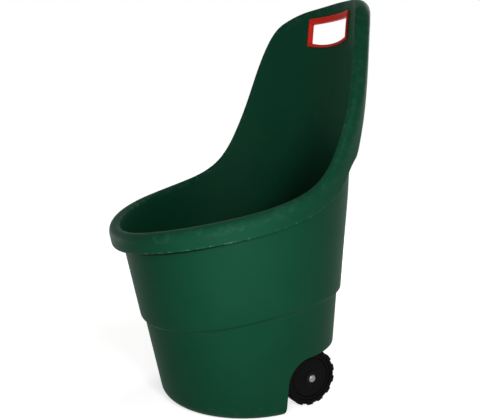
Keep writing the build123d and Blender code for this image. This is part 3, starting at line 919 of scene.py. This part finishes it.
# %% Grip screws
screw_height = (grip_top + hole[1] + gap) / 2
screw_spacing = 50 * mm
screw_seat_depth = 0.8 * mm
screw_bite = 2.8 * mm
screw_sizes = {
    "Head Radius": 3 * mm,
    "Head Height": 2 * mm,
    "Shank Radius": 1.5 * mm,
    "Shank Length": wall + screw_bite + 2 * grip_clearance,
    "Recess": 3.2 * mm,
}
screw_points = []
for across in (-screw_spacing, 0.0, screw_spacing):
    seat = float(panel_back(across, screw_height, rear_end)) - screw_seat_depth
    screw_points.append((across, seat, screw_height))


def screw_tree(material):
    """Geometry Nodes that set a pan-head screw on every point, its shank towards -Y."""
    tree, size = shape_tree("grip_screws", screw_sizes)
    radius, height = size["Head Radius"], size["Head Height"]
    ball = node(tree, "GeometryNodeMeshUVSphere", {"Segments": 40, "Rings": 24, "Radius": 1.0})
    flat = node(tree, "ShaderNodeCombineXYZ", {"X": radius, "Y": radius, "Z": height})
    dome = node(tree, "GeometryNodeTransform", {"Geometry": ball, "Scale": flat})
    reach = node(tree, "ShaderNodeMath", {0: radius, 1: 4.0}, operation="MULTIPLY")
    block = node(tree, "ShaderNodeCombineXYZ", {"X": reach, "Y": reach, "Z": reach})
    below = node(tree, "GeometryNodeMeshCube", {"Size": block})
    drop = node(tree, "ShaderNodeMath", {0: reach, 1: -0.5}, operation="MULTIPLY")
    lowered = node(tree, "ShaderNodeCombineXYZ", {"Z": drop})
    below = node(tree, "GeometryNodeTransform", {"Geometry": below, "Translation": lowered})
    arm = node(tree, "ShaderNodeMath", {0: size["Recess"], 1: 0.28}, operation="MULTIPLY")
    slot_size = node(tree, "ShaderNodeCombineXYZ", {"X": size["Recess"], "Y": arm, "Z": height})
    slot = node(tree, "GeometryNodeMeshCube", {"Size": slot_size})
    raised = node(tree, "ShaderNodeCombineXYZ", {"Z": height})
    slot = node(tree, "GeometryNodeTransform", {"Geometry": slot, "Translation": raised})
    turned_slot = node(tree, "GeometryNodeTransform", {"Geometry": slot, "Rotation": (0, 0, pi / 2)})
    head = node(tree, "GeometryNodeMeshBoolean", {"Mesh 1": dome}, operation="DIFFERENCE")
    for tool in (below, slot, turned_slot):
        tree.links.new(tool.outputs[0], head.inputs["Mesh 2"])
    length = size["Shank Length"]
    shank = node(
        tree, "GeometryNodeMeshCylinder", {"Vertices": 32, "Radius": size["Shank Radius"], "Depth": length}
    )
    half = node(tree, "ShaderNodeMath", {0: length, 1: -0.5}, operation="MULTIPLY")
    sunk = node(tree, "ShaderNodeCombineXYZ", {"Z": half})
    shank = node(tree, "GeometryNodeTransform", {"Geometry": shank, "Translation": sunk})
    screw = node(tree, "GeometryNodeJoinGeometry")
    for part in (head, shank):
        tree.links.new(part.outputs[0], screw.inputs[0])
    copies = node(
        tree,
        "GeometryNodeInstanceOnPoints",
        {"Points": size["Geometry"], "Instance": screw, "Rotation": (-pi / 2, 0, 0)},
    )
    return end_tree(tree, copies, material)


points = bpy.data.meshes.new("screw_points")
points.from_pydata(screw_points, [], [])
screws = through_tree("grip_screw_heads", points, screw_tree(zinc_plate), screw_sizes)
finish_piece("grip_screw_heads", screws, zinc_plate, "cart", "grip_screws")

# %% [markdown]
# ## Wheels and axle
# Everything on the axle is turned or moulded round, so a section is drawn once, with its corners rounded,
# and revolved. The section's first number runs outboard along the axle and the second is the radius. The
# sizes below follow each other outboard: bracket, bush, washer, hub, washer and cap.

# %% Axle
fit = 0.05 * mm
play = 0.3 * mm
axle_radius = 5 * mm
axle_core = 0.2 * mm
bush_wall = 2 * mm
bush_flange = 3.5 * mm
bush_end = bracket_end + 2 * mm
bush_bore = axle_radius + fit
bush_radius = bush_bore + bush_wall
washer = 1.6 * mm
washer_radius = 11 * mm
wheel_face = 146 * mm
tyre_start = wheel_face - 38 * mm
tyre_bore = wheel_radius - 10.9 * mm
hub_start = bush_end + washer + play
hub_end = wheel_face - 2 * mm
hub_radius = 12 * mm
hub_bore = bush_bore + bush_wall + fit
core_radius = tyre_bore - fit
cap_start = hub_end + play + washer
cap_end = cap_start + 7.6 * mm
axle_end = cap_end - 1.7 * mm


def turned(name, side, corners, radius, segments=96, count=4):
    """Closed mesh of a section revolved around the axle, on the left (1) or the right (-1)."""
    along, out = rounded_outline(corners, radius, count).T
    rings = []
    for turn in np.linspace(0, 2 * pi, segments, endpoint=False):
        rings.append(np.stack([side * along, axle_back + out * cos(turn), axle_height + out * sin(turn)], 1))
    return closed_rings(name, rings)


def box_section(start, end, inner, outer):
    """Corners of a plain ring's section."""
    return [(start, inner), (end, inner), (end, outer), (start, outer)]


axle_mesh = turned("axle_rod", 1, box_section(-axle_end, axle_end, axle_core, axle_radius), 0.15 * mm)
finish_piece("axle_rod", axle_mesh, zinc_plate, "cart", "axle")

# %% [markdown]
# The wheel's core is a moulded disc: a hub, a web set a little in from the face with a shallow groove near
# its edge, and a band that carries the tyre. Six ribs behind the web repeat around the hub, and the tyre's
# lugs repeat around its band, so one Geometry Nodes tree of bars around the axle makes both.

# %% Bars around the axle


def bar_tree(material):
    """Geometry Nodes that set copies of a rounded bar around the axle, each along the axle's direction."""
    sizes = ("Middle Radius", "Depth", "Thickness", "Rounding", "Start", "End", "Axle Back", "Axle Height")
    tree, size = shape_tree("bars_round_axle", sizes, ["Count"])
    outline = node(
        tree,
        "GeometryNodeCurvePrimitiveQuadrilateral",
        {"Width": size["Depth"], "Height": size["Thickness"]},
    )
    outline = node(
        tree,
        "GeometryNodeFilletCurve",
        {"Curve": outline, "Radius": size["Rounding"], "Limit Radius": True, "Count": 5},
        mode="POLY",
    )
    low = node(tree, "ShaderNodeCombineXYZ", {"Z": size["Start"]})
    high = node(tree, "ShaderNodeCombineXYZ", {"Z": size["End"]})
    line = node(tree, "GeometryNodeCurvePrimitiveLine", {"Start": low, "End": high})
    bar = node(tree, "GeometryNodeCurveToMesh", {"Curve": line, "Profile Curve": outline, "Fill Caps": True})
    circle = node(
        tree, "GeometryNodeMeshCircle", {"Vertices": size["Count"], "Radius": size["Middle Radius"]}
    )
    index = node(tree, "GeometryNodeInputIndex")
    share = node(tree, "ShaderNodeMath", {0: index, 1: size["Count"]}, operation="DIVIDE")
    turn = node(tree, "ShaderNodeMath", {0: share, 1: 2 * pi}, operation="MULTIPLY")
    facing = node(tree, "ShaderNodeCombineXYZ", {"Z": turn})
    copies = node(
        tree, "GeometryNodeInstanceOnPoints", {"Points": circle, "Instance": bar, "Rotation": facing}
    )
    whole = node(tree, "GeometryNodeRealizeInstances", {0: copies})
    hub = node(tree, "ShaderNodeCombineXYZ", {"Y": size["Axle Back"], "Z": size["Axle Height"]})
    placed = node(
        tree, "GeometryNodeTransform", {"Geometry": whole, "Translation": hub, "Rotation": (0, pi / 2, 0)}
    )
    merged = node(tree, "GeometryNodeMergeByDistance", {"Geometry": placed, "Distance": 0.001 * mm})
    return end_tree(tree, merged, material)


def bars(name, tree, side, start, end, sizes):
    """Mesh of bars around the axle between two places along it, on one side."""
    low, high = sorted((side * start, side * end))
    places = {"Start": low, "End": high, "Axle Back": axle_back, "Axle Height": axle_height}
    return through_tree(name, bpy.data.meshes.new(name + "_start"), tree, places | sizes)


rib_tree = bar_tree(wheel_black)
lug_tree = bar_tree(tread_black)
print("trees", [tree.name for tree in bpy.data.node_groups])

# %% [markdown]
# The sections and bar sizes are the same for both wheels. Ribs reach a little into the hub and the band, and
# lugs a little into the tread, so that each joins what carries it.

# %% Wheels, bushes and washers
band_in = core_radius - 4 * mm
core_start = tyre_start + 2 * mm
web_back = hub_end - 4 * mm
web_face = hub_end - 1.2 * mm
groove_face = hub_end - 2.4 * mm
groove_in, groove_out = core_radius - 8 * mm, core_radius - 5.5 * mm
core_section = [
    (hub_start, hub_bore), (hub_end, hub_bore), (hub_end, hub_radius + 3 * mm),
    (web_face, hub_radius + 5 * mm), (web_face, groove_in), (groove_face, groove_in + mm),
    (groove_face, groove_out - mm), (hub_end, groove_out), (hub_end, core_radius), (core_start, core_radius),
    (core_start, band_in), (web_back, band_in), (web_back, hub_radius), (hub_start, hub_radius),
]
rib_start = tyre_start + 8 * mm
rib_sizes = {
    "Count": 6,
    "Middle Radius": (band_in + hub_radius) / 2,
    "Depth": band_in - hub_radius + 2 * mm,
    "Thickness": 3 * mm,
    "Rounding": 0.4 * mm,
}
lug_count = 14
lug_share = 0.56
lug_inset = 1.2 * mm
tread_radius = wheel_radius - 2.6 * mm
lug_sizes = {
    "Count": lug_count,
    "Middle Radius": wheel_radius - 3 * mm,
    "Depth": 6 * mm,
    "Thickness": lug_share * 2 * pi * tread_radius / lug_count,
    "Rounding": 1.6 * mm,
}
band_section = box_section(tyre_start, wheel_face, tyre_bore, tread_radius)
sleeve_section = box_section(hub_start, hub_end, bush_bore, hub_bore - fit)
bush_section = [
    (bracket_in, bush_bore), (bush_end, bush_bore), (bush_end, bush_radius + bush_flange),
    (bracket_end, bush_radius + bush_flange), (bracket_end, bush_radius), (bracket_in, bush_radius),
]

for side, hand in ((1, "left"), (-1, "right")):
    wheel = f"{hand}_wheel"
    core = turned("core", side, core_section, 0.5 * mm, 128)
    ribs = bars("ribs", rib_tree, side, rib_start, web_back + mm, rib_sizes)
    finish_piece(f"{hand}_wheel_disc", outward(core, ribs), wheel_black, wheel, f"{hand}_wheel_core")

    band = turned("band", side, band_section, 2.2 * mm, 140, 6)
    lugs = bars("lugs", lug_tree, side, tyre_start + lug_inset, wheel_face - lug_inset, lug_sizes)
    finish_piece(f"{hand}_lugged_tyre", outward(band, lugs), tread_black, wheel, f"{hand}_tyre")

    sleeve = turned("sleeve", side, sleeve_section, 0.3 * mm, 64)
    finish_piece(f"{hand}_hub_sleeve", sleeve, nylon_black, wheel, f"{hand}_hub_bush")
    bush = turned("bush", side, bush_section, 0.3 * mm, 64)
    finish_piece(f"{hand}_bracket_bush", bush, nylon_black, "cart", f"{hand}_axle_bush")
    for start, name in ((bush_end, "inner"), (hub_end + play, "outer")):
        plate = box_section(start, start + washer, bush_bore, washer_radius)
        plate = turned("plate", side, plate, 0.35 * mm, 72)
        finish_piece(f"{hand}_{name}_thrust_washer", plate, nylon_black, "cart", f"{hand}_{name}_washer")

# %% [markdown]
# A plated cap is pressed over each axle end. Its dome is a half ellipse in section, outside and inside, so
# that section is worked out point by point and revolved with next to no corner rounding. The toothed spring
# ring inside it is seen by nobody, so the solid stays and only takes its finish.

# %% Axle caps
cap_radius = 7.8 * mm
cap_wall = 0.6 * mm
dome_rise = 4.2 * mm
dome_start = cap_end - dome_rise
bend = np.linspace(0.08, pi / 2 - 0.03, 18)
cap_section = [(cap_start, cap_radius - cap_wall), (cap_start, cap_radius), (dome_start, cap_radius)]
for inset, angles in ((0, bend), (cap_wall, bend[::-1])):
    cap_section += [
        (dome_start + (dome_rise - inset) * sin(a), (cap_radius - inset) * cos(a)) for a in angles
    ]
for side, hand in ((1, "left"), (-1, "right")):
    cap = turned("cap", side, cap_section, 0.001 * mm, 80, 2)
    finish_piece(f"{hand}_dome_cap", cap, nickel_plate, "cart", f"{hand}_axle_cap")
    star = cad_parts[f"{hand}_star_washer"].data
    star.materials.clear()
    star.materials.append(spring_plate)
